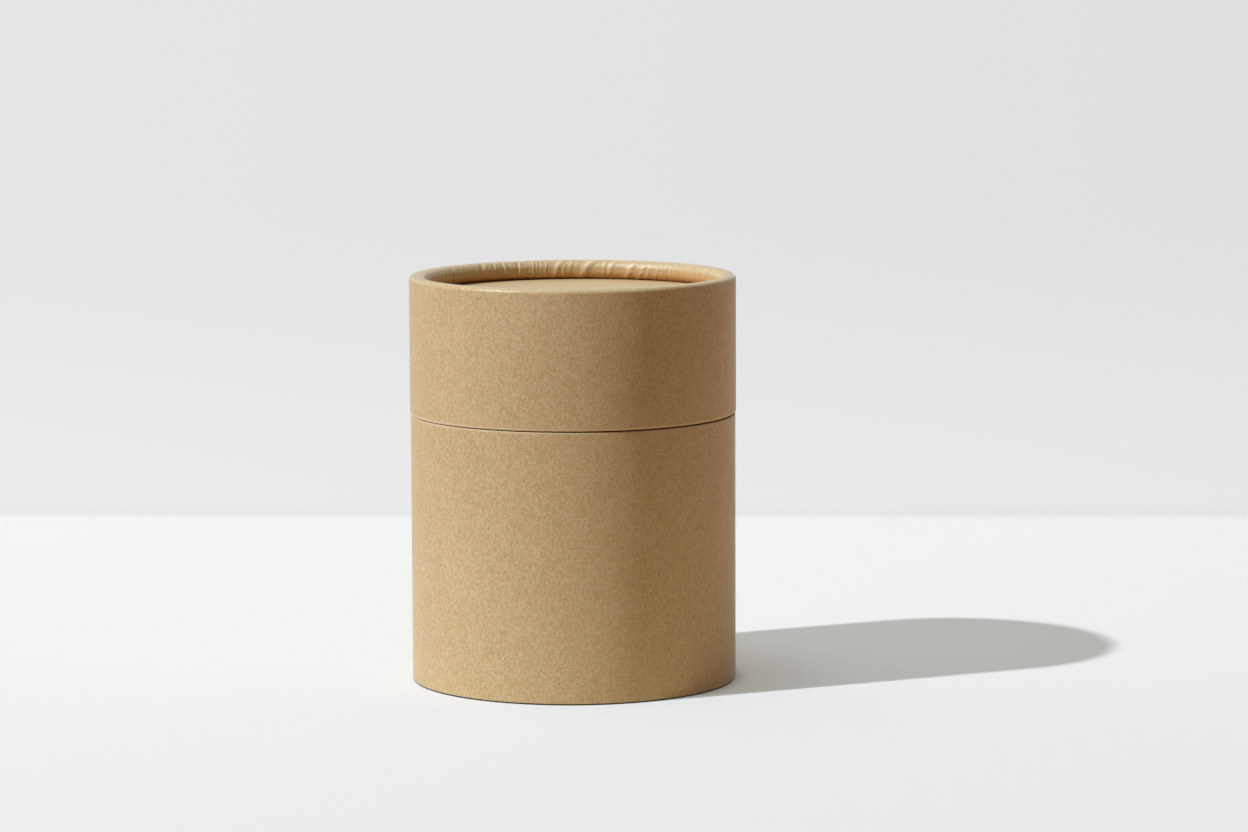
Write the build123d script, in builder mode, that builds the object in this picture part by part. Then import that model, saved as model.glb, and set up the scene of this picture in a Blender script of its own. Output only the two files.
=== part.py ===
from build123d import *
import os
from math import ceil, cos, radians, sin

# A kraft paper candle tube: a base with a glued-in neck, and a lid that slides over the neck.
# The far end of each outer tube is rolled inwards round a recessed disc.
# Millimetres, +Z up, with the origin at the centre of the foot.

# Outer sizes
base_diameter = 80.0  # outside of the base tube
base_height = 66.1  # from the foot to the shoulder, where the lid rests
lid_height = 34.1  # from the shoulder to the top of the rim

# Board
wall = 1.4  # wound board of the base and the lid
neck_wall = 1.2  # thinner wound board of the neck
disc_thickness = 1.5  # die-cut end discs
neck_reach = 20.0  # how far the neck stands above the shoulder

# Rolled ends
rim_corner = 1.2  # outer corner of the rim
foot_corner = 0.5  # outer corner of the foot, pressed sharper
rim_land = 1.0  # width of the flat top of the rim
foot_land = 1.7  # width of the ring that the tube stands on
roll_core = 0.6  # radius of the hollow that is left inside the roll
roll_drop = 0.55  # straight stretch halfway round the roll
roll_sweep = 255.0  # degrees that the wall turns before its cut end
corner_facet = 45.0  # most degrees that one facet of an outer corner turns
roll_facet = 38.0  # the same on the outside of the roll
core_facet = 90.0  # the same inside the roll, where nothing shows

# Gathers: the rim's paper puckers into uneven folds where the roll draws it inwards
gather_count = 48  # folds round the rim
gather_depth = 0.25  # deepest furrow between two folds
gather_drift = 1.2  # most degrees that the folds wander sideways on their way down
gather_levels = [  # degrees of turn, straight drop, and how far a fold's crest is pressed in
    (110, 0, -0.12),
    (140, 0, 0.08),
    (180, 0, 0.03),
    (180, roll_drop, 0.03),
]

# Cut edges
lip_bevel = 0.3  # softened outer edges that meet at the shoulder
neck_bevel = 0.3  # lead-in on the neck's top edge

# Clearances
glue_gap = 0.05  # neck to base tube, all round
lid_clearance = 0.2  # lid to neck, all round
disc_clearance = 0.1  # disc to the tube around it, all round
seat_gap = 0.1  # disc to the end of the roll

# Sizes that follow
base_radius = base_diameter / 2
base_bore = base_radius - wall
neck_radius = base_bore - glue_gap
lid_bore = neck_radius + lid_clearance
lid_radius = lid_bore + wall
lid_top = base_height + lid_height
roll_radius = roll_core + wall
rim_roll_x = lid_radius - rim_corner - rim_land
roll_depth = roll_radius * (1 - sin(radians(min(roll_sweep, 270)))) + roll_drop
recess = roll_depth + seat_gap
neck_foot = recess + disc_thickness

# Both outer tubes are drawn from the shoulder: x is the radius, y the distance from it
shoulder = (0, 0, base_height)
upwards = Plane(origin=shoulder, x_dir=(1, 0, 0), z_dir=(0, -1, 0))
downwards = Plane(origin=shoulder, x_dir=(1, 0, 0), z_dir=(0, 1, 0))


def round_stretch(center_x, center_y, radius, start, end, facet):
    """Points round a centre from one angle to another, close enough to read as an arc."""
    steps = ceil(abs(end - start) / facet)
    angles = [radians(start + (end - start) * step / steps) for step in range(steps + 1)]
    return [(center_x + radius * cos(turn), center_y + radius * sin(turn)) for turn in angles]


def rolled_wall(outer_radius, height, corner, land):
    """Section of a tube wall whose far end turns a corner, runs flat and is rolled under."""
    corner_x = outer_radius - corner
    roll_x = corner_x - land
    roll_y = height - roll_radius
    low_y = roll_y - roll_drop
    outline = [(outer_radius, 0)]
    outline += round_stretch(corner_x, height - corner, corner, 0, 90, corner_facet)
    outline += round_stretch(roll_x, roll_y, roll_radius, 90, 180, roll_facet)
    outline += round_stretch(roll_x, low_y, roll_radius, 180, roll_sweep, roll_facet)
    outline += round_stretch(roll_x, low_y, roll_core, roll_sweep, 180, core_facet)
    outline += round_stretch(roll_x, roll_y, roll_core, 180, 90, core_facet)
    outline += [(outer_radius - wall, height - wall), (outer_radius - wall, 0)]
    with BuildSketch(Plane.XY) as section:
        with BuildLine():
            Polyline(*outline, close=True)
        make_face()
    return section.sketch


def uneven(fold):
    """A fixed number from 0 to 1 that jumps about from one fold to the next."""
    return fold * 0.618034 % 1


def gathered_outline(crest_radius, drift):
    """Outline of the rim's opening at one level: a crest and a furrow for each fold."""
    points = []
    for fold in range(gather_count):
        furrow_depth = gather_depth * (0.25 + 0.75 * uneven(fold))
        shift = 0.35 * uneven(3 * fold) + drift * uneven(5 * fold)
        for place, depth in ((0, 0), (0.5, furrow_depth)):
            turn = radians(360 * (fold + place + shift) / gather_count)
            radius = crest_radius + depth
            points.append((radius * cos(turn), radius * sin(turn)))
    return points


# Base: the outer tube, open at the shoulder and rolled in at the foot
with BuildPart() as base_tube:
    with BuildSketch(downwards):
        add(rolled_wall(base_radius, base_height, foot_corner, foot_land))
    revolve(axis=Axis.Z)
    shoulder_edges = base_tube.edges().group_by(Axis.Z)[-1]
    chamfer(shoulder_edges.sort_by(SortBy.RADIUS)[-1], length=lip_bevel)
base_tube.part.label = "base_tube"

# Base: the disc that lies on the roll
with BuildPart() as base_disc:
    with BuildSketch(Plane.XY.offset(recess)):
        Circle(base_bore - disc_clearance)
    extrude(amount=disc_thickness)
base_disc.part.label = "base_disc"

# Base: the neck, glued inside the outer tube and standing on the disc
with BuildPart() as neck_tube:
    with BuildSketch(Plane.XY.offset(neck_foot)):
        Circle(neck_radius)
        Circle(neck_radius - neck_wall, mode=Mode.SUBTRACT)
    extrude(amount=base_height + neck_reach - neck_foot)
    top_edges = neck_tube.edges().group_by(Axis.Z)[-1]
    chamfer(top_edges.sort_by(SortBy.RADIUS)[-1], length=neck_bevel)
neck_tube.part.label = "neck_tube"

# Lid: the opening of the rim, gathered all round, that is pressed into the roll
with BuildPart() as rim_gathers:
    for turn, drop, pressed in gather_levels:
        crest_radius = rim_roll_x + roll_radius * cos(radians(turn)) + pressed
        level = lid_top - roll_radius * (1 - sin(radians(turn))) - drop
        drift = gather_drift * (turn - gather_levels[0][0]) / 70 * gather_count / 360
        with BuildSketch(Plane.XY.offset(level)):
            with BuildLine():
                Polyline(*gathered_outline(crest_radius, drift), close=True)
            make_face()
    loft(ruled=True)

# Lid: the same wall turned up, open at the shoulder and rolled in at the rim
with BuildPart() as lid_tube:
    with BuildSketch(upwards):
        add(rolled_wall(lid_radius, lid_height, rim_corner, rim_land))
    revolve(axis=Axis.Z)
    mouth_edges = lid_tube.edges().group_by(Axis.Z)[0]
    chamfer(mouth_edges.sort_by(SortBy.RADIUS)[-1], length=lip_bevel)
    add(rim_gathers.part, mode=Mode.SUBTRACT)
lid_tube.part.label = "lid_tube"

# Lid: the recessed disc, pushed up against the roll from inside
with BuildPart() as lid_disc:
    with BuildSketch(Plane.XY.offset(lid_top - recess)):
        Circle(lid_bore - disc_clearance)
    extrude(amount=-disc_thickness)
lid_disc.part.label = "lid_disc"

os.makedirs("parts", exist_ok=True)
for piece in (base_tube, base_disc, neck_tube, lid_tube, lid_disc):
    export_step(piece.part, f"parts/{piece.part.label}.step")
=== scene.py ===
# %% [markdown]
# # A kraft paper candle tube
#
# The object is a round two-piece box of wound paper board. Its base holds an inner neck, its lid
# slides down over that neck, and the far end of each outer tube is rolled inwards over a recessed
# disc. The solids are already packed at their real size, in metres, standing on the origin. This
# file gives each of them its paper surface, then sets up a small studio round the object.

import math

import bmesh
import bpy
import numpy as np
from mathutils import Matrix, Vector


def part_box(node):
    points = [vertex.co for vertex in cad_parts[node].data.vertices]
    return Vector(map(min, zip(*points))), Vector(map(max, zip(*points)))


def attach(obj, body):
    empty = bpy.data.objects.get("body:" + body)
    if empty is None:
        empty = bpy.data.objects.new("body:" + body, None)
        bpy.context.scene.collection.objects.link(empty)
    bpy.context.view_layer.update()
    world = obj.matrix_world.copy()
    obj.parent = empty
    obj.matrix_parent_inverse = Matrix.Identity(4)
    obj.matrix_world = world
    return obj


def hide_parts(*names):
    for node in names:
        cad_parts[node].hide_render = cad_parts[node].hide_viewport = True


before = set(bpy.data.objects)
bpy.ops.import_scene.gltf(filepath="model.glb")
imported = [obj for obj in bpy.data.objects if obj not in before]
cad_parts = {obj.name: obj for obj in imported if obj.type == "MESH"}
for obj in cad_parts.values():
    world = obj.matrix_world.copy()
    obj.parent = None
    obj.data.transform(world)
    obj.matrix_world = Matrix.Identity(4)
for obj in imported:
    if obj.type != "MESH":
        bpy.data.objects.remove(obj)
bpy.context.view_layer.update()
print("nodes in the frame:", sorted(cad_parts))

# %% [markdown]
# ## Sizes
#
# Every piece is round about the Z axis, so a node's box tells its radius and its two heights.
# Only what a box can't tell is written here: the thickness of the board, the form of the rolled
# edge, and the lips that meet at the shoulder. Each lip is rounded and stands back a little, on
# one side more than on the other, so that the joint reads as a fine uneven line. A millimetre is
# named once, so that small sizes stay easy to read.

# %% Read the sizes of the solids
MM = 0.001


def round_size(node):
    """Radius, lowest and highest point of a round node, in metres."""
    low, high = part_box(node)
    return high.x, low.z, high.z


base_radius, foot, shoulder = round_size("base_tube")
lid_radius, _, rim = round_size("lid_tube")
neck_radius, neck_foot, neck_top = round_size("neck_tube")
wall = 1.4 * MM
neck_wall = 1.2 * MM
roll_core = 0.6 * MM
roll_radius = roll_core + wall
roll_drop = 0.55 * MM
roll_sweep = 255.0
rim_corner = 1.2 * MM
foot_corner = 0.38 * MM
rim_land = 1.0 * MM
foot_land = 1.82 * MM
lid_lip = 0.28 * MM
base_lip = 0.22 * MM
lip_gap = 0.08 * MM
lip_play = 0.15 * MM
lip_depth = 1.10 * MM
print("base", base_radius, "lid", lid_radius, "shoulder", shoulder, "rim", rim)

# %% [markdown]
# ## Drawing a wall
#
# A tube wall is a closed outline turned about the axis. Its outline is a chain of straight runs
# and arcs, so one small helper adds each stretch with as many points as its detail needs. Each
# point also carries how far the paper has turned over there, in degrees. That number later tells
# the gathers and the material where the roll is.

# %% Outline helper
# The fourth finish paints the foot's hairline dark, as painted contact shade.
WRAP, CUT, LINER, FOOT_SHADE = 0, 1, 2, 3


class Outline:
    """The section of a wall: x is the radius, y a height, with a turn and a finish at each point."""

    def __init__(self):
        self.x, self.y, self.turn, self.finish = [], [], [], []

    def point(self, x, y, turn, finish):
        """One more point at the end of the outline."""
        self.x.append(x)
        self.y.append(y)
        self.turn.append(turn)
        self.finish.append(finish)

    def run(self, end, count, finish, turn=0.0):
        """A straight run from the last point to the end, in count steps."""
        start = (self.x[-1], self.y[-1])
        for step in range(1, count + 1):
            part = step / count
            x = start[0] + (end[0] - start[0]) * part
            y = start[1] + (end[1] - start[1]) * part
            self.point(x, y, turn, finish)

    def arc(self, center, radius, start, end, count, finish, rolling=False):
        """An arc between two angles in degrees; on the roll the angle is also the turn."""
        for step in range(1, count + 1):
            angle = start + (end - start) * step / count
            x = center[0] + radius * math.cos(math.radians(angle))
            y = center[1] + radius * math.sin(math.radians(angle))
            self.point(x, y, angle if rolling else 0.0, finish)

    def arrays(self):
        """Radius, height, turn and finish of all points, each as an array."""
        return (np.array(self.x), np.array(self.y), np.array(self.turn), np.array(self.finish))


def rolled_wall(outer, height, corner, land, lip_radius, edge):
    """Outline of a wall that starts at its open edge, at y = 0, and rolls in at the height."""
    bend = (outer - corner, height - corner)
    curl = (bend[0] - land, height - roll_radius)
    low = (curl[0], curl[1] - roll_drop)
    line = Outline()
    lip = (outer - lip_radius, lip_gap + lip_radius)
    line.point(outer - lip_depth, 0.0, 0.0, CUT)
    line.run((lip[0], lip_gap), 2, CUT)
    line.arc(lip, lip_radius, -90, 0, 4, WRAP)
    for level in (0.5 * MM, 0.9 * MM, height - corner):
        line.run((outer, level), 1, WRAP)
    line.arc(bend, corner, 0, 90, 7, edge, rolling=True)
    line.run((curl[0], height), 2, WRAP, turn=90.0)
    line.arc(curl, roll_radius, 90, 180, 14, WRAP, rolling=True)
    line.run((low[0] - roll_radius, low[1]), 2, WRAP, turn=180.0)
    line.arc(low, roll_radius, 180, roll_sweep, 10, WRAP, rolling=True)
    line.arc(low, roll_core, roll_sweep, roll_sweep, 1, CUT)
    line.arc(low, roll_core, roll_sweep, 180, 3, LINER)
    line.arc(curl, roll_core, 180, 90, 3, LINER)
    line.run((outer - wall, height - wall), 1, LINER)
    line.run((outer - wall, 0.0), 2, LINER)
    return line.arrays()


lid_wall = rolled_wall(lid_radius, rim - shoulder, rim_corner, rim_land, lid_lip, WRAP)
base_wall = rolled_wall(base_radius, shoulder - foot, foot_corner, foot_land, base_lip, FOOT_SHADE)
print("points round one wall:", len(lid_wall[0]))

# %% [markdown]
# ## Turning the outline into a mesh
#
# A Screw modifier would turn the outline, but the gathers need every point moved by hand, so the
# grid is worked out with numpy: one row for each outline point and one column for each step round
# the axis. Points move along the outline's normals. A disc's outline begins and ends on the axis,
# where a whole row falls together and is joined into one point.

# %% Normals and axis
def outward_normals(x, y):
    """Unit normals of a closed outline that runs up its outside and back down its inside."""
    along_x = np.roll(x, -1) - np.roll(x, 1)
    along_y = np.roll(y, -1) - np.roll(y, 1)
    length = np.maximum(np.hypot(along_x, along_y), 1e-9)
    return along_y / length, -along_x / length


def close_axis(mesh):
    """Joins the points that lie together on the axis, and drops what then has no area."""
    shape = bmesh.new()
    shape.from_mesh(mesh)
    bmesh.ops.remove_doubles(shape, verts=shape.verts, dist=0.001 * MM)
    loose = [edge for edge in shape.edges if not edge.link_faces]
    bmesh.ops.delete(shape, geom=loose, context="EDGES")
    shape.to_mesh(mesh)
    shape.free()


# %% [markdown]
# A push never takes a point beyond the outline's own box, so the tube keeps its size and still
# stands on its ring. Two numbers are kept on the mesh as attributes for the material: `turn`, and
# `crease`, which says how deep in a gather a point lies. The material paints `crease` as shade and
# light: painted shade in the furrows and on the left of the roll, a painted highlight on the folds
# and the lips, and the dark line of the lap seam.

# %% Mesh builder
def turned_mesh(name, outline, columns, push=None, flip=1.0, level=0.0):
    """Turns an outline about Z; push(x, y, turn, angle) gives the inward and crease grids."""
    x, y, turn, finish = outline
    angle = np.arange(columns) * 2 * math.pi / columns
    inward, crease = push(x, y, turn, angle) if push else (0.0, 0.0)
    slope_x, slope_y = outward_normals(x, y)
    radius = (x[:, None] - slope_x[:, None] * inward) * (x > 0)[:, None]
    radius = np.minimum(radius, x.max())
    height = np.clip(y[:, None] - slope_y[:, None] * inward, y.min(), y.max())
    grid = np.stack([
        radius * np.cos(angle),
        radius * np.sin(angle),
        level + flip * height * np.ones_like(angle),
    ], axis=-1)
    rows = len(x)
    row, column = np.meshgrid(np.arange(rows), np.arange(columns), indexing="ij")
    next_row, next_column = (row + 1) % rows, (column + 1) % columns
    corners = [(row, column), (row, next_column), (next_row, next_column), (next_row, column)]
    faces = np.stack([r * columns + c for r, c in corners[::int(flip)]], axis=-1)
    mesh = bpy.data.meshes.new(name)
    mesh.from_pydata(grid.reshape(-1, 3), [], faces.reshape(-1, 4))
    face_finishes = np.roll(finish, -1)[:, None] * np.ones(columns, int)
    mesh.polygons.foreach_set("material_index", face_finishes.ravel())
    for label, values in (("turn", turn[:, None] * np.ones(columns)), ("crease", crease)):
        field = mesh.attributes.new(label, "FLOAT", "POINT")
        field.data.foreach_set("value", (values * np.ones((rows, columns))).ravel())
    if x.min() == 0:
        close_axis(mesh)
    mesh.shade_smooth()
    mesh.set_sharp_from_angle(angle=math.radians(50))
    mesh.update()
    piece = bpy.data.objects.new(name, mesh)
    bpy.context.scene.collection.objects.link(piece)
    print(name, "has", len(mesh.polygons), "faces")
    return piece


# %% [markdown]
# ## Gathers in the rolled edge
#
# When the wall is rolled inwards, its circumference shrinks by a tenth and the paper has to go
# somewhere. It puckers into small uneven pleats that start near the crown of the roll and deepen
# towards the tucked end. A bump map would look flat at the rim's edge, so the pleats are real
# geometry. Two small tools come first: a soft step, and a noise that closes round a circle.

# %% Soft step and circular noise
def fade(value, start, end):
    """0 before start, 1 after end, and smooth between."""
    part = np.clip((value - start) / (end - start), 0, 1)
    return part * part * (3 - 2 * part)


def ripple(angle, low, high, seed):
    """Smooth noise round a circle, about -1 to 1, made of low to high waves to a turn."""
    dice = np.random.default_rng(seed)
    waves = np.arange(low, high)
    phases = dice.uniform(0, 2 * math.pi, len(waves))
    heights = dice.uniform(0.3, 1.0, len(waves))
    total = np.cos(np.outer(angle, waves) + phases) @ heights
    return total / (1.5 * math.sqrt((heights ** 2).sum() / 2))


# %% [markdown]
# A pleat is a raised fold with a furrow beside it, and a negative width puts the furrow on the
# other side. It lies at its own angle where the paper has turned by 185 degrees, and leans by so
# many degrees for every 50 degrees of turn. A seeded generator scatters most of the pleats.

# %% Pleats
full_crease = 0.1 * MM


def scattered_pleats(count, seed, bare_from=0, bare_to=0):
    """Angle, lean, width, depth, first and last turn of each pleat, away from a bare stretch."""
    dice = np.random.default_rng(seed)
    spots = (np.arange(count) + dice.uniform(-0.45, 0.45, count)) * 360 / count
    leans = dice.normal(0.5, 0.7, count)
    widths = dice.uniform(0.35, 0.70, count) * dice.choice([-1, 1], count)
    depths = dice.gamma(2.0, 0.036, count) * MM
    starts = dice.uniform(92, 150, count)
    stops = dice.uniform(190, 270, count)
    rows = zip(spots, leans, widths, depths, starts, stops)
    return [row for row in rows if not bare_from < row[0] < bare_to]


def pleat_grids(pleat, rolled, degrees):
    """How far one pleat goes inwards, and its crease: painted shade in the furrow, painted highlight
    on the fold.
    """
    spot, lean, width, depth, start, stop = pleat
    middle = spot + lean * (rolled - 185) / 50
    across = ((degrees - middle + 180) % 360 - 180) / width
    grow = fade(rolled, start, start + 30) * (1 - fade(rolled, stop - 30, stop))
    raised, sunk = (0.6, 1.0) if width > 0 else (1.0, 0.5)
    fold = raised * np.exp(-np.abs(across) ** 1.6)
    furrow = sunk * np.exp(-((across - 1.3) / 0.9) ** 2)
    return depth * grow * (furrow - fold), depth / full_crease * grow * (furrow - 1.2 * fold)


# %% [markdown]
# Between its pleats the paper isn't smooth either. The roll swells in slow waves, its crown is
# rubbed, and the tucked side has a fine crinkle that changes on its way down. The wrap also laps
# over itself once, with a small step. Its open edge at the joint is painted paler, partly rubbing
# and partly a painted highlight where the lips catch light, and is pressed in a little further on
# the right. On the left of the roll the tucked paper is painted darker: painted shade.

# %% Gathered wall
roll_swell = 0.025 * MM
crown_wear = 0.012 * MM
crinkle_depth = 0.009 * MM
crease_limit = 1.8
lap_step = 0.08 * MM
lap_crease = 2.0
pale_lip_depth = 0.16 * MM
wrap_depth = 0.6 * MM


def paper_waves(rolled, angle, seed):
    """How far the swell, the rubbed crown and the crinkle go inwards, as one grid."""
    shrink = fade(rolled, 95, 185)
    inward = roll_swell * shrink * ripple(angle, 20, 60, seed)
    worn = fade(rolled, 20, 60) * (1 - fade(rolled, 90, 130))
    inward = inward + crown_wear * worn * (1 + ripple(angle, 40, 160, seed + 1))
    blend = fade(rolled, 110, 230)
    crinkle = ripple(angle, 90, 220, seed + 2) * (1 - blend)
    crinkle = crinkle + ripple(angle, 90, 220, seed + 3) * blend
    return inward + crinkle_depth * shrink * crinkle


def gathered_wall(pleats, lap, seed, lip, left_shade):
    """Makes the push function of a rolled wall.

    lap is the angle of the wrap's lap seam. The fourth argument says how much paler the lips of the
    open edge are painted, partly rubbing and partly a painted highlight, and the fifth how much
    darker the tucked paper on the left of the roll is painted, as painted shade.
    """
    def push(x, y, turn, angle):
        degrees = np.degrees(angle)
        rolled = turn[:, None]
        inward = paper_waves(rolled, angle, seed)
        crease = np.zeros((len(turn), len(angle)))
        for pleat in pleats:
            pleat_inward, pleat_crease = pleat_grids(pleat, rolled, degrees)
            inward += pleat_inward
            crease += pleat_crease
        crease = np.clip(crease, -crease_limit, crease_limit)
        past_lap = (degrees - lap) % 360
        inward += lap_step * (1 - fade(past_lap, 0, 14))
        crease += lap_crease * (past_lap < 0.3)
        # Painted highlight with some rubbing: the lips at the open edge are marked to be painted
        # paler.
        pale_lip = (x > x.max() - pale_lip_depth) * (1 - fade(y, 0.4 * MM, 0.7 * MM))
        crease -= lip * pale_lip[:, None]
        # Painted shade: the tucked paper on the left of the roll, turned away from the key light, is
        # marked to be painted darker.
        painted_left_shade = left_shade * fade(degrees, 105, 125) * (1 - fade(degrees, 165, 200))
        crease += painted_left_shade * fade(rolled, 150, 185)
        ajar = (1 + np.cos(angle)) / 2 * (1 - fade(y, 0.1 * MM, 0.6 * MM))[:, None]
        inward = inward + lip_play * ajar
        outside = (x > x.max() - wrap_depth) & (y > 0)
        on_wrap = (outside | (turn > 0))[:, None]
        return inward * on_wrap, crease * on_wrap
    return push


# %% [markdown]
# The pleats that stand out from the front are listed one by one. A row gives the same six values
# as a scattered pleat: angle, lean, width, depth, and first and last turn.

# %% Pleats listed one by one
shown_pleats = [
    (127.8, 0.3, 1.00, 0.22 * MM, 95, 200),
    (122.6, 0.2, 0.60, 0.15 * MM, 100, 190),
    (118.0, -0.4, 0.50, 0.18 * MM, 100, 215),
    (115.3, -0.3, 0.42, 0.14 * MM, 100, 195),
    (111.7, 0.2, 0.55, 0.20 * MM, 95, 238),
    (106.0, 0.3, -0.60, 0.10 * MM, 95, 245),
    (102.9, 0.2, 0.42, 0.11 * MM, 100, 215),
    (100.8, 0.4, -0.70, 0.09 * MM, 110, 240),
    (96.5, 1.6, -1.25, 0.20 * MM, 100, 255),
    (93.5, 0.3, -0.50, 0.10 * MM, 140, 240),
    (91.0, 0.5, -0.75, 0.09 * MM, 100, 215),
    (84.8, 2.2, -1.60, 0.27 * MM, 100, 250),
    (77.4, 0.6, -0.75, 0.10 * MM, 100, 255),
    (74.7, 1.3, -1.10, 0.11 * MM, 105, 230),
    (66.4, 2.0, -1.40, 0.21 * MM, 115, 262),
    (61.0, 2.2, -0.95, 0.15 * MM, 135, 262),
    (57.7, 2.0, -0.50, 0.10 * MM, 150, 262),
    (53.8, 1.6, -0.60, 0.11 * MM, 160, 262),
    (47.8, 0.2, 0.60, 0.16 * MM, 120, 264),
    (37.7, 0.2, 0.70, 0.08 * MM, 150, 262),
    (30.9, 0.2, 0.50, 0.05 * MM, 150, 262),
]
rim_pleats = scattered_pleats(170, 7, 30, 131) + shown_pleats
foot_pleats = scattered_pleats(170, 19)
lid_push = gathered_wall(rim_pleats, lap=108.0, seed=3, lip=1.6, left_shade=1.4)
foot_push = gathered_wall(foot_pleats, lap=71.0, seed=5, lip=0.7, left_shade=0.0)
print("pleats placed by hand:", len(shown_pleats), "of", len(rim_pleats), "on the rim")

# %% [markdown]
# ## Outer tubes
#
# Lid and base are the same wall, once turned up and once turned down from the shoulder where
# they meet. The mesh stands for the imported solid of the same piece, whose roll is only faceted.

# %% Lid tube and base tube
tube_columns = 1760


def dress(piece, node, body):
    """Puts a finished piece in place of its solid."""
    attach(piece, body)
    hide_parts(node)


lid_tube = turned_mesh("paper_lid_tube", lid_wall, tube_columns, lid_push, 1.0, shoulder)
dress(lid_tube, "lid_tube", "lid")

base_tube = turned_mesh("paper_base_tube", base_wall, tube_columns, foot_push, -1.0, shoulder)
dress(base_tube, "base_tube", "base")

# %% [markdown]
# ## Neck and discs
#
# The neck is a plain cut tube, so its outline is a rectangle with softened top corners. A disc is
# an outline too: it starts on the axis, runs out along the underside and comes back over the top.
# Board never lies perfectly flat, so each disc is bowed by a few hundredths of a millimetre, and
# the lid's disc is tilted by a little more.

# %% Neck tube
neck_columns = 480


def cut_wall(outer, inner, height, edge):
    """Outline of a plain tube wall with both top corners softened."""
    line = Outline()
    line.point(outer, 0.0, 0.0, CUT)
    line.run((outer, height - edge), 12, LINER)
    line.arc((outer - edge, height - edge), edge, 0, 90, 5, CUT)
    line.run((inner + edge / 2, height), 4, CUT)
    line.arc((inner + edge / 2, height - edge / 2), edge / 2, 90, 180, 3, CUT)
    line.run((inner, 0.0), 12, LINER)
    return line.arrays()


neck_outline = cut_wall(neck_radius, neck_radius - neck_wall, neck_top - neck_foot, base_lip)
neck_tube = turned_mesh("paper_neck_tube", neck_outline, neck_columns, level=neck_foot)
dress(neck_tube, "neck_tube", "base")


# %% End discs
disc_columns = 240
disc_bow = 0.03
disc_warp = 0.012


def disc_mesh(node, name, body, seed, tilt):
    """A softened disc in place of the node's solid; bow, warp and tilt are in millimetres."""
    radius, low, high = round_size(node)
    edge = 0.2 * MM
    line = Outline()
    line.point(0.0, 0.0, 0.0, WRAP)
    line.run((radius - edge, 0.0), 24, WRAP)
    line.arc((radius - edge, edge), edge, -90, 0, 3, CUT)
    line.run((radius, high - low - edge), 2, CUT)
    line.arc((radius - edge, high - low - edge), edge, 0, 90, 3, CUT)
    line.run((0.0, high - low), 24, WRAP)

    def bow(x, y, turn, angle):
        reach = (x / radius)[:, None]
        dip = disc_bow * (1 - reach ** 2) + disc_warp * reach * (1 + ripple(angle, 2, 7, seed))
        dip = dip + tilt * reach * (1 - np.cos(angle)) * np.where(y > 0, 1, -1)[:, None]
        return dip * MM * (reach < 0.99), 0.0

    piece = turned_mesh(name, line.arrays(), disc_columns, bow, level=low)
    dress(piece, node, body)
    return piece


lid_disc = disc_mesh("lid_disc", "paper_lid_disc", "lid", 11, 0.11)
base_disc = disc_mesh("base_disc", "paper_base_disc", "base", 12, 0.0)

# %% [markdown]
# ## Building materials from nodes
#
# A material is a small graph. Written out node by node it would be long, so a few helpers do the
# repeating work: they add a node and fill its sockets, do sums, mix colours, move a value from
# one range to another, measure the distance to the axis, and start a node group.

# %% Node helpers
def add_node(tree, kind, sockets=None, **options):
    """Adds a node, sets its options, and fills its sockets with numbers or other sockets."""
    made = tree.nodes.new(kind)
    for option, value in options.items():
        setattr(made, option, value)
    for socket, value in (sockets or {}).items():
        if isinstance(value, bpy.types.NodeSocket):
            tree.links.new(value, made.inputs[socket])
        else:
            made.inputs[socket].default_value = value
    return made


def calc(tree, operation, first, second=0.0, third=0.0, clamp=False):
    """One sum or other operation on numbers."""
    sockets = {0: first, 1: second, 2: third}
    made = add_node(tree, "ShaderNodeMath", sockets, operation=operation, use_clamp=clamp)
    return made.outputs[0]


def mix_color(tree, amount, first, second, mode="MIX"):
    """Mixes two colours by an amount from 0 to 1."""
    sockets = {0: amount, 6: first, 7: second}
    made = add_node(tree, "ShaderNodeMix", sockets, data_type="RGBA", blend_type=mode)
    return made.outputs[2]


def remap(tree, value, low, high, new_low=0.0, new_high=1.0):
    """Moves a value from one range to another, smoothly and without going past its ends."""
    sockets = {0: value, 1: low, 2: high, 3: new_low, 4: new_high}
    made = add_node(tree, "ShaderNodeMapRange", sockets, interpolation_type="SMOOTHSTEP")
    return made.outputs[0]


def axis_distance(tree, parts):
    """How far a point lies from the Z axis, from its X, Y and Z."""
    square = calc(tree, "MULTIPLY", parts[1], parts[1])
    square = calc(tree, "MULTIPLY_ADD", parts[0], parts[0], square)
    return calc(tree, "SQRT", square)


def new_group(name, inputs, outputs):
    """An empty node group with named sockets; gives the group, its input and its output node."""
    group = bpy.data.node_groups.new(name, "ShaderNodeTree")
    for label, kind, value in inputs:
        socket = group.interface.new_socket(name=label, in_out="INPUT", socket_type=kind)
        socket.default_value = value
    for label, kind in outputs:
        group.interface.new_socket(name=label, in_out="OUTPUT", socket_type=kind)
    return group, group.nodes.new("NodeGroupInput"), group.nodes.new("NodeGroupOutput")


FLOAT, COLOR, VECTOR = "NodeSocketFloat", "NodeSocketColor", "NodeSocketVector"

# %% [markdown]
# ## Kraft paper
#
# Kraft is unbleached pulp. From a step away it is one warm tan, and close up it is a felt of
# light and dark fibres: broad clouds where the pulp lay thicker, a mottle of a few millimetres,
# and a grain of half a millimetre that is drawn out a little along the machine's direction. The
# group works in millimetres, so that each of those sizes can be set to its real one.

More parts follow.
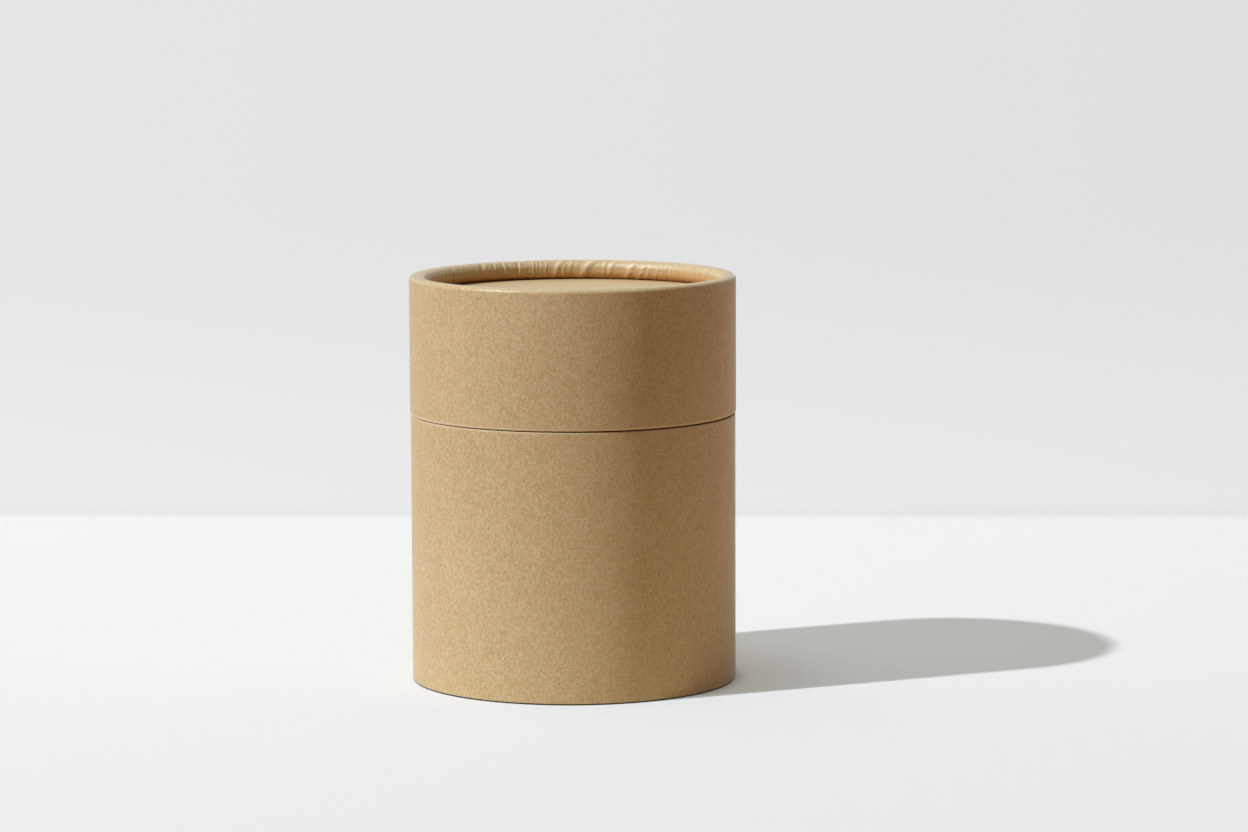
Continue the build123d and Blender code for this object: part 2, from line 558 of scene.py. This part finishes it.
# %% Fibre group
def fibre_group():
    """Colour and height of felted kraft fibres."""
    inputs = [
        ("Position", VECTOR, (0, 0, 0)),
        ("Light", COLOR, (0.6, 0.45, 0.25, 1)),
        ("Dark", COLOR, (0.4, 0.28, 0.13, 1)),
        ("Contrast", FLOAT, 1.0),
        ("Draw Out", FLOAT, 0.6),
    ]
    group, start, end = new_group("Kraft fibres", inputs, [("Color", COLOR), ("Height", FLOAT)])
    parts = add_node(group, "ShaderNodeSeparateXYZ", {0: start.outputs["Position"]})
    drawn = calc(group, "MULTIPLY", parts.outputs[2], start.outputs["Draw Out"])
    sockets = {0: parts.outputs[0], 1: parts.outputs[1], 2: drawn}
    position = add_node(group, "ShaderNodeCombineXYZ", sockets).outputs[0]

    def noise(scale, detail, roughness, distortion=0.0):
        sockets = {
            "Vector": position, "Scale": scale, "Detail": detail,
            "Roughness": roughness, "Distortion": distortion,
        }
        made = add_node(group, "ShaderNodeTexNoise", sockets, noise_dimensions="3D")
        return calc(group, "SUBTRACT", made.outputs[0], 0.5)

    cloud = noise(0.07, 2, 0.5)
    mottle = noise(0.42, 3, 0.6)
    grain = noise(1.5, 2, 0.65)
    tooth = noise(4.0, 1, 0.5)
    strand = calc(group, "ABSOLUTE", noise(0.9, 1, 0.5, 1.6))
    strand = remap(group, strand, 0.0, 0.035, 1.0, 0.0)
    total = 0.0
    weights = ((cloud, 0.55), (mottle, 0.75), (grain, 2.40), (tooth, 3.60), (strand, 0.07))
    for layer, weight in weights:
        total = calc(group, "MULTIPLY_ADD", layer, weight, total)
    amount = calc(group, "MULTIPLY_ADD", total, start.outputs["Contrast"], 0.5, clamp=True)
    color = mix_color(group, amount, start.outputs["Dark"], start.outputs["Light"])
    hue = calc(group, "MULTIPLY_ADD", noise(2.7, 2, 0.6), 2.6, 0.5, clamp=True)
    tint = mix_color(group, hue, (1.05, 1.0, 0.90, 1), (0.96, 1.0, 1.09, 1))
    color = mix_color(group, 1.0, color, tint, "MULTIPLY")
    height = calc(group, "MULTIPLY_ADD", tooth, 0.6, grain)
    height = calc(group, "MULTIPLY_ADD", strand, 0.12, height)
    group.links.new(color, end.inputs["Color"])
    group.links.new(height, end.inputs["Height"])
    return group


kraft_fibres = fibre_group()
print("group:", kraft_fibres.name, "with", len(kraft_fibres.nodes), "nodes")

# %% [markdown]
# ## Flecks
#
# Bits of bark and knots of undyed fibre are left in the pulp. Each fleck is a small ball in a
# Voronoi pattern, and the surface shows only the balls that it happens to cut, so the flecks come
# out few, uneven in size and never in rows.

# %% Fleck group
def fleck_group():
    """Adds dark and pale flecks to a colour."""
    inputs = [
        ("Position", VECTOR, (0, 0, 0)),
        ("Color", COLOR, (0.5, 0.4, 0.2, 1)),
        ("Bark", COLOR, (0.10, 0.06, 0.035, 1)),
        ("Pale", COLOR, (0.72, 0.60, 0.42, 1)),
        ("Amount", FLOAT, 1.0),
    ]
    group, start, end = new_group("Pulp flecks", inputs, [("Color", COLOR)])

    def balls(scale, radius, soft, strength):
        sockets = {"Vector": start.outputs["Position"], "Scale": scale}
        distance = add_node(group, "ShaderNodeTexVoronoi", sockets, feature="F1").outputs["Distance"]
        edge = remap(group, distance, (radius - soft) * scale, radius * scale, strength, 0.0)
        return calc(group, "MULTIPLY", edge, start.outputs["Amount"])

    pale_knots = balls(0.21, 0.42, 0.3, 0.45)
    fine_bark = balls(0.33, 0.20, 0.1, 0.40)
    coarse_bark = balls(0.14, 0.22, 0.1, 0.75)
    color = mix_color(group, pale_knots, start.outputs["Color"], start.outputs["Pale"])
    color = mix_color(group, fine_bark, color, start.outputs["Bark"])
    color = mix_color(group, coarse_bark, color, start.outputs["Bark"])
    group.links.new(color, end.inputs["Color"])
    return group


pulp_flecks = fleck_group()
print("group:", pulp_flecks.name, "with", len(pulp_flecks.nodes), "nodes")

# %% [markdown]
# ## Board plies and the winding seam
#
# A cut edge shows the board's plies as fine rings. A wound tube also has a seam where one strip
# of paper meets the next, which climbs round the tube like the thread of a screw.

# %% Ply and seam groups
def ply_group():
    """Ring lines of the plies on a cut edge, from the distance to the axis."""
    inputs = [("Position", VECTOR, (0, 0, 0)), ("Ply", FLOAT, 0.3)]
    group, start, end = new_group("Board plies", inputs, [("Line", FLOAT)])
    parts = add_node(group, "ShaderNodeSeparateXYZ", {0: start.outputs["Position"]}).outputs
    radius = axis_distance(group, parts)
    layer = calc(group, "FRACT", calc(group, "DIVIDE", radius, start.outputs["Ply"]))
    middle = calc(group, "ABSOLUTE", calc(group, "SUBTRACT", layer, 0.5))
    group.links.new(remap(group, middle, 0.0, 0.22, 1.0, 0.0), end.inputs["Line"])
    return group


def seam_group():
    """A thin line that winds up a tube."""
    inputs = [("Position", VECTOR, (0, 0, 0)), ("Rise", FLOAT, 70.0), ("Width", FLOAT, 0.25)]
    group, start, end = new_group("Winding seam", inputs, [("Line", FLOAT)])
    parts = add_node(group, "ShaderNodeSeparateXYZ", {0: start.outputs["Position"]})
    angle = calc(group, "ARCTAN2", parts.outputs[1], parts.outputs[0])
    turns = calc(group, "DIVIDE", angle, 2 * math.pi)
    climb = calc(group, "DIVIDE", parts.outputs[2], start.outputs["Rise"])
    thread = calc(group, "FRACT", calc(group, "SUBTRACT", climb, turns))
    off = calc(group, "ABSOLUTE", calc(group, "SUBTRACT", thread, 0.5))
    half = calc(group, "DIVIDE", start.outputs["Width"], start.outputs["Rise"])
    across = calc(group, "DIVIDE", off, half)
    group.links.new(remap(group, across, 0.3, 1.0, 1.0, 0.0), end.inputs["Line"])
    return group


board_plies = ply_group()
winding_seam = seam_group()
print("groups:", board_plies.name, "and", winding_seam.name)

# %% [markdown]
# ## The five papers
#
# All five finishes start from the same pulp: the wrap on the outside, the discs, the plain board
# of the neck and the insides, the raw cut edge, and the hairline of the foot, painted dark as
# contact shade. They share one function that lays fibres and flecks and ends in a Principled shader,
# and each adds what is its own. A faint sheen stands for the loose fibre ends that catch light at a
# low angle.

# %% Paper base
bump_height = 0.06 * MM


def paper(name, light, dark, contrast, draw_out, flecks, roughness, tooth):
    """A kraft material; gives the material, its shader, its colour and its position in mm."""
    material = bpy.data.materials.new(name)
    material.use_nodes = True
    tree = material.node_tree
    shader = tree.nodes["Principled BSDF"]
    place = add_node(tree, "ShaderNodeTexCoord").outputs["Object"]
    sockets = {0: place, "Scale": 1 / MM}
    position = add_node(tree, "ShaderNodeVectorMath", sockets, operation="SCALE").outputs[0]
    sockets = {
        "Position": position, "Light": light, "Dark": dark,
        "Contrast": contrast, "Draw Out": draw_out,
    }
    fibres = add_node(tree, "ShaderNodeGroup", sockets, node_tree=kraft_fibres)
    sockets = {"Position": position, "Color": fibres.outputs["Color"], "Amount": flecks}
    specks = add_node(tree, "ShaderNodeGroup", sockets, node_tree=pulp_flecks)
    sockets = {"Height": fibres.outputs["Height"], "Strength": tooth, "Distance": bump_height}
    bump = add_node(tree, "ShaderNodeBump", sockets)
    tree.links.new(bump.outputs[0], shader.inputs["Normal"])
    tree.links.new(specks.outputs["Color"], shader.inputs["Base Color"])
    shader.inputs["Roughness"].default_value = roughness
    shader.inputs["Sheen Weight"].default_value = 0.32
    shader.inputs["Sheen Roughness"].default_value = 0.26
    return material, shader, specks.outputs["Color"], position


# %% [markdown]
# The wrap is burnished where the curling tool pressed it, so the roll shines a little more than
# the wall. Its gathers are painted darker in the furrows, as painted shade, and paler on the folds,
# a painted highlight with some whitening of the paper. Towards its tucked end, in the recess, the
# paper is painted a deeper brown: painted shade, which keeps the shade in the recess warm.

# %% Wrap
kraft_light = (0.606, 0.490, 0.291, 1)
kraft_dark = (0.467, 0.330, 0.148, 1)
crease_shade_and_seam_brown = (0.26, 0.14, 0.05, 1)
fold_highlight_and_rub_pale = (0.78, 0.64, 0.45, 1)
recess_shade_brown = (0.52, 0.25, 0.06, 1)


def wrap_paper():
    """Kraft wrap of the outer tubes, with its burnished and gathered roll."""
    material, shader, color, _ = paper(
        "kraft_wrap", kraft_light, kraft_dark,
        contrast=0.9, draw_out=0.6, flecks=1.0, roughness=0.6, tooth=0.5)
    tree = material.node_tree
    turn = add_node(tree, "ShaderNodeAttribute", attribute_name="turn").outputs["Fac"]
    crease = add_node(tree, "ShaderNodeAttribute", attribute_name="crease").outputs["Fac"]
    pressed = remap(tree, turn, 0, 45, 0.55, 0.33)
    loosened = remap(tree, turn, 90, 130, 0.0, 0.15)
    tree.links.new(calc(tree, "ADD", pressed, loosened), shader.inputs["Roughness"])
    polished = remap(tree, turn, 15, 50, 0.0, 0.30)
    untouched = remap(tree, turn, 150, 190, 1.0, 0.0)
    tree.links.new(calc(tree, "MULTIPLY", polished, untouched), shader.inputs["Coat Weight"])
    shader.inputs["Coat Roughness"].default_value = 0.47
    # Painted shade: where crease is positive (furrows, the left of the roll) the paper is mixed
    # towards a dark brown, which also draws the lap seam's dark line.
    sunk = remap(tree, crease, 0.0, 1.5, 0.0, 0.45)
    color = mix_color(tree, sunk, color, crease_shade_and_seam_brown)
    # Painted highlight: where crease is negative (folds, and the lips at the joint, which are also
    # rubbed) the paper is mixed towards a pale tan.
    raised = remap(tree, crease, 0.0, -1.3, 0.0, 0.60)
    color = mix_color(tree, raised, color, fold_highlight_and_rub_pale)
    # Painted shade: towards the tucked end of the roll, in the recess, the paper is mixed towards a
    # deeper warm brown.
    painted_recess_shade = remap(tree, turn, 152, 205, 0.0, 0.75)
    color = mix_color(tree, painted_recess_shade, color, recess_shade_brown)
    tree.links.new(color, shader.inputs["Base Color"])
    return material


# %% [markdown]
# The discs are cut from a smoother and paler sheet. Where they meet the roll they are painted a
# browner ring, painted shade in the crevice under the roll, so the colour changes with the distance
# to the axis, in millimetres.

# %% Discs
disc_light = (0.66, 0.545, 0.335, 1)
disc_dark = (0.51, 0.37, 0.18, 1)
crevice_shade_brown = (0.50, 0.25, 0.08, 1)
crevice_shade_start, crevice_shade_full = 35.3, 36.1


def disc_paper():
    """Smooth kraft of the end discs, with a browner ring of painted shade under the roll."""
    material, shader, color, position = paper(
        "kraft_disc", disc_light, disc_dark,
        contrast=0.6, draw_out=0.6, flecks=0.4, roughness=0.45, tooth=0.3)
    tree = material.node_tree
    parts = add_node(tree, "ShaderNodeSeparateXYZ", {0: position}).outputs
    # Painted shade: a browner ring where the disc runs under the roll.
    painted_crevice_shade = remap(tree, axis_distance(tree, parts), crevice_shade_start, crevice_shade_full, 0.0, 0.85)
    tree.links.new(mix_color(tree, painted_crevice_shade, color, crevice_shade_brown), shader.inputs["Base Color"])
    return material


# %% [markdown]
# The neck and the insides are bare board with a winding seam. A cut edge shows the plies, and it
# is browner, with no sheen and little gloss. The corner of the foot is painted nearly black, a
# painted contact shade where it meets the table, and is just as dull.

# %% Liner, cut edge and painted foot shade
seam_brown = (0.2, 0.12, 0.06, 1)
cut_light = (0.36, 0.22, 0.09, 1)
cut_dark = (0.22, 0.12, 0.04, 1)
ply_brown = (0.16, 0.09, 0.03, 1)
# Painted contact shade: the foot's hairline is nearly black.
foot_shade_light = (0.10, 0.055, 0.022, 1)
foot_shade_dark = (0.06, 0.032, 0.012, 1)


def make_dull(shader):
    """Takes the sheen and most of the gloss from a paper."""
    shader.inputs["Sheen Weight"].default_value = 0.0
    shader.inputs["Specular IOR Level"].default_value = 0.2


def liner_board():
    """Plain board of the neck and the insides, with its winding seam."""
    material, shader, color, position = paper(
        "kraft_board", kraft_light, kraft_dark,
        contrast=1.0, draw_out=0.8, flecks=0.8, roughness=0.75, tooth=0.7)
    tree = material.node_tree
    seam = add_node(tree, "ShaderNodeGroup", {"Position": position}, node_tree=winding_seam)
    amount = calc(tree, "MULTIPLY", seam.outputs[0], 0.5)
    tree.links.new(mix_color(tree, amount, color, seam_brown), shader.inputs["Base Color"])
    return material


def cut_board():
    """Raw edge of the board, with its plies."""
    material, shader, color, position = paper(
        "kraft_cut", cut_light, cut_dark,
        contrast=1.2, draw_out=1.0, flecks=0.3, roughness=0.85, tooth=0.9)
    tree = material.node_tree
    plies = add_node(tree, "ShaderNodeGroup", {"Position": position}, node_tree=board_plies)
    amount = calc(tree, "MULTIPLY", plies.outputs[0], 0.55)
    tree.links.new(mix_color(tree, amount, color, ply_brown), shader.inputs["Base Color"])
    make_dull(shader)
    return material


def painted_foot_shade():
    """The hairline of the foot, painted nearly black and matte: painted contact shade."""
    material, shader, _, _ = paper(
        "kraft_foot_shade", foot_shade_light, foot_shade_dark,
        contrast=1.0, draw_out=0.6, flecks=0.0, roughness=0.9, tooth=0.5)
    make_dull(shader)
    return material


# %% [markdown]
# A face's finish number picks a material by its place in the piece's list, so every list below
# keeps the order of the finishes: wrap, cut, liner and, on the base only, the painted foot shade.

# %% Hand out the papers
wrap, disc, liner, cut = wrap_paper(), disc_paper(), liner_board(), cut_board()
foot_contact_shade = painted_foot_shade()
finishes = {
    lid_tube: (wrap, cut, liner),
    base_tube: (wrap, cut, liner, foot_contact_shade),
    neck_tube: (liner, cut, liner),
    lid_disc: (disc, cut, disc),
    base_disc: (disc, cut, disc),
}
for piece, papers in finishes.items():
    for material in papers:
        piece.data.materials.append(material)
print("materials:", [material.name for material in (wrap, disc, liner, cut, foot_contact_shade)])

# %% [markdown]
# ## Floor and backdrop
#
# The object stands on a white table in front of a pale grey wall. Both are one-sided, so a camera
# that goes behind or below still sees the object. The colour that the camera sees and the colour
# that bounces light are set apart by the Light Path node: the table has to look white, but the
# light that it throws back on kraft is warm and weaker.

# %% Stage sheets
floor_back = 6.79 * base_radius
stage_side = 4.0
wall_turn = math.radians(2.5)


def seen_directly(tree):
    """1 where the camera sees the surface, straight or in a gloss, and 0 where it only bounces."""
    path = add_node(tree, "ShaderNodeLightPath").outputs
    seen = calc(tree, "MAXIMUM", path["Is Camera Ray"], path["Is Glossy Ray"])
    return calc(tree, "MAXIMUM", seen, path["Is Transmission Ray"])


def stage_material(name, bounce, matte_color, glow):
    """A one-sided sheet: matte with a glow for the camera, plain matte for other rays."""
    material = bpy.data.materials.new(name)
    material.use_nodes = True
    tree = material.node_tree
    tree.nodes.remove(tree.nodes["Principled BSDF"])
    seen = seen_directly(tree)
    color = mix_color(tree, seen, bounce(tree), matte_color)
    matte = add_node(tree, "ShaderNodeBsdfDiffuse", {"Color": color}).outputs[0]
    sockets = {"Color": glow(tree), "Strength": seen}
    light = add_node(tree, "ShaderNodeEmission", sockets).outputs[0]
    both = add_node(tree, "ShaderNodeAddShader", {0: matte, 1: light}).outputs[0]
    clear = add_node(tree, "ShaderNodeBsdfTransparent").outputs[0]
    behind = add_node(tree, "ShaderNodeNewGeometry").outputs["Backfacing"]
    side = add_node(tree, "ShaderNodeMixShader", {0: behind, 1: both, 2: clear}).outputs[0]
    tree.links.new(side, tree.nodes["Material Output"].inputs["Surface"])
    return material


def place_parts(tree):
    """X, Y and Z of the shaded point, in metres."""
    place = add_node(tree, "ShaderNodeTexCoord").outputs["Object"]
    return add_node(tree, "ShaderNodeSeparateXYZ", {0: place}).outputs


def stage_sheet(name, corners, material):
    """A flat sheet through four corners, as part of the stage."""
    mesh = bpy.data.meshes.new(name)
    mesh.from_pydata(corners, [], [(0, 1, 2, 3)])
    mesh.materials.append(material)
    sheet = bpy.data.objects.new(name, mesh)
    bpy.context.scene.collection.objects.link(sheet)


# %% [markdown]
# The floor lights the lower part of the tube. To the left it throws back a nearly neutral light,
# to the right a warmer one, and far from the tube a weak brown one. Close to the tube's right
# side, away from the key light, the floor lies in shade and its light is weak and brown too.

# %% Light from the floor
lit_bounce = (0.86, 0.77, 0.76, 1)
near_bounce = (0.85, 0.67, 0.40, 1)
far_bounce = (0.40, 0.17, 0.03, 1)
shade_bounce = (0.33, 0.13, 0.0, 1)


def floor_bounce(tree):
    """The colour with which the floor lights the tube: strong close by, weaker further off."""
    parts = place_parts(tree)
    radius = axis_distance(tree, parts)
    rightwards = remap(tree, parts[0], -0.07, 0.05)
    near = mix_color(tree, rightwards, lit_bounce, near_bounce)
    color = mix_color(tree, remap(tree, radius, 0.09, 0.20), near, far_bounce)
    beside = remap(tree, radius, 0.045, 0.08, 0.85, 0.0)
    shaded = calc(tree, "MULTIPLY", beside, remap(tree, parts[0], 0.02, 0.05))
    return mix_color(tree, shaded, color, shade_bounce)


# %% [markdown]
# For the camera the floor glows a little, as if more lamps stood round it, and the wall's pale
# grey is all glow. The floor's glow would also fill the tube's shadow, so it is dimmed there, most
# of all close to the foot. That is why the direction of the key light is set here already.

# %% What the camera sees of the stage
key_direction = Vector((0.6725, 0.2988, -0.6771))
glow_level = 0.135
glow_slope = 0.12
floor_lift = (0.058, 0.118, 0.130)
floor_dim = (0.80, 0.75, 0.70)
dim_reach = 35 * MM
contact_reach = 4 * MM
wall_low, wall_high = 0.825, 0.765


def in_shadow(tree, parts):
    """1 on the strip of floor that lies in the tube's shadow, and 0 elsewhere."""
    ahead = Vector((key_direction.x, key_direction.y)).normalized()
    along = calc(tree, "MULTIPLY", parts[1], ahead.y)
    along = calc(tree, "MULTIPLY_ADD", parts[0], ahead.x, along)
    aside = calc(tree, "MULTIPLY", parts[1], -ahead.x)
    aside = calc(tree, "MULTIPLY_ADD", parts[0], ahead.y, aside)
    inside = remap(tree, aside, 0.90 * base_radius, 1.01 * base_radius, 1.0, 0.0)
    return calc(tree, "MULTIPLY", inside, remap(tree, along, 0.0, 20 * MM))


def floor_glow(tree):
    """What the floor adds for the camera: a little more to the left and to the back, dimmed in the
    tube's shadow and under the foot's corner as painted shadow and painted contact shade.
    """
    parts = place_parts(tree)
    value = calc(tree, "MULTIPLY_ADD", parts[0], -glow_slope, glow_level)
    value = calc(tree, "MULTIPLY_ADD", parts[1], glow_slope, value)
    value = calc(tree, "MAXIMUM", value, 0.0)
    radius = axis_distance(tree, parts)
    contact_start = base_radius - 0.5 * MM
    contact = remap(tree, radius, contact_start, base_radius + contact_reach, 0.45, 1.0)
    shadow = in_shadow(tree, parts)
    outside = remap(tree, radius, base_radius - foot_corner, base_radius, 0.1, 1.0)
    value = calc(tree, "MULTIPLY", value, outside)
    channels = {}
    for channel, lift in enumerate(floor_lift):
        dim = remap(tree, radius, base_radius, base_radius + dim_reach, floor_dim[channel], 1.0)
        lost = calc(tree, "SUBTRACT", 1.0, calc(tree, "MULTIPLY", dim, contact))
        kept = calc(tree, "SUBTRACT", 1.0, calc(tree, "MULTIPLY", lost, shadow))
        channels[channel] = calc(tree, "MULTIPLY", calc(tree, "ADD", value, lift), kept)
    return add_node(tree, "ShaderNodeCombineColor", channels).outputs[0]


def wall_glow(tree):
    """The wall for the camera: paler near the floor and to the left, with a soft foot."""
    parts = place_parts(tree)
    value = remap(tree, parts[2], 0.0, 0.10, wall_low, wall_high)
    value = calc(tree, "MULTIPLY_ADD", parts[0], -glow_slope, value)
    foot_light = remap(tree, parts[2], 0.0, 0.0016, 0.060, 0.0)
    foot_shade = remap(tree, parts[2], 0.001, 0.006, 0.02, 0.0)
    value = calc(tree, "ADD", value, foot_light)
    value = calc(tree, "SUBTRACT", value, foot_shade)
    return add_node(tree, "ShaderNodeCombineColor", {0: value, 1: value, 2: value}).outputs[0]


# %% [markdown]
# Two large flat sheets are enough for the stage. The wall is turned by a few degrees, which sets
# the slope of its foot in the picture.

# %% Build the stage
table_matte = (0.605, 0.577, 0.577, 1)
wall_bounce = (0.95, 0.95, 0.95, 1)
wall_matte = (0.0, 0.0, 0.0, 1)
table = stage_material("table_white", floor_bounce, table_matte, floor_glow)
backdrop = stage_material("wall_grey", lambda tree: wall_bounce, wall_matte, wall_glow)
slant = math.tan(wall_turn) * stage_side
floor_corners = [
    (-stage_side, -stage_side, 0),
    (stage_side, -stage_side, 0),
    (stage_side, stage_side, 0),
    (-stage_side, stage_side, 0),
]
wall_corners = [
    (-stage_side, floor_back + slant, 0),
    (stage_side, floor_back - slant, 0),
    (stage_side, floor_back - slant, stage_side),
    (-stage_side, floor_back + slant, stage_side),
]
stage_sheet("floor", floor_corners, table)
stage_sheet("backdrop", wall_corners, backdrop)
print("backdrop", round(floor_back, 3), "m behind the tube")

# %% [markdown]
# ## Light
#
# A sun-like key comes from the left and a little from the front, about 43 degrees up. It draws
# the long soft-edged shadow. A wide lamp overhead fills that shadow on the table without
# flattening the tube's dark side. The world is a pale grey that is only seen, straight or in a
# gloss, and gives no other light.

# %% Lamps and world
def lamp(name, kind, direction, place, **settings):
    """A lamp that shines along a direction."""
    data = bpy.data.lights.new(name, kind)
    for setting, value in settings.items():
        setattr(data, setting, value)
    made = bpy.data.objects.new(name, data)
    made.location = place
    made.rotation_euler = direction.to_track_quat("-Z", "Y").to_euler()
    made.visible_camera = False
    bpy.context.scene.collection.objects.link(made)


lamp(
    "key", "SUN", key_direction, (-1, -0.5, 1),
    energy=3.0, angle=math.radians(1.6), color=(1.0, 1.06, 1.12))
lamp(
    "overhead", "AREA", Vector((0, 0, -1)), (0, 0, 1.6),
    energy=10.8, size=1.8, color=(1.0, 0.82, 0.69))
world = bpy.data.worlds.new("studio")
bpy.context.scene.world = world
world.use_nodes = True
air = world.node_tree
background = air.nodes["Background"]
background.inputs["Color"].default_value = (0.80, 0.80, 0.80, 1)
air.links.new(seen_directly(air), background.inputs["Strength"])

# %% [markdown]
# ## Camera
#
# A long lens from a little over a metre away, 7 degrees above the horizontal. The tube stands
# left of the middle of the picture, because the camera is turned slightly to the right.

# %% Camera
camera_distance = 1.1572
camera_height = 0.2086
look_down = math.radians(7.074)
look_right = math.radians(0.621)
lean = math.radians(-0.212)
camera = bpy.data.objects.new("camera", bpy.data.cameras.new("camera"))
camera.data.sensor_width = 36.0
camera.data.lens = 136.4
turned = Matrix.Rotation(-look_right, 4, "Z") @ Matrix.Rotation(math.pi / 2 - look_down, 4, "X")
place = Matrix.Translation((0, -camera_distance, camera_height))
camera.matrix_world = place @ turned @ Matrix.Rotation(lean, 4, "Z")
bpy.context.scene.collection.objects.link(camera)
bpy.context.scene.camera = camera
bpy.context.scene.view_settings.view_transform = "Standard"
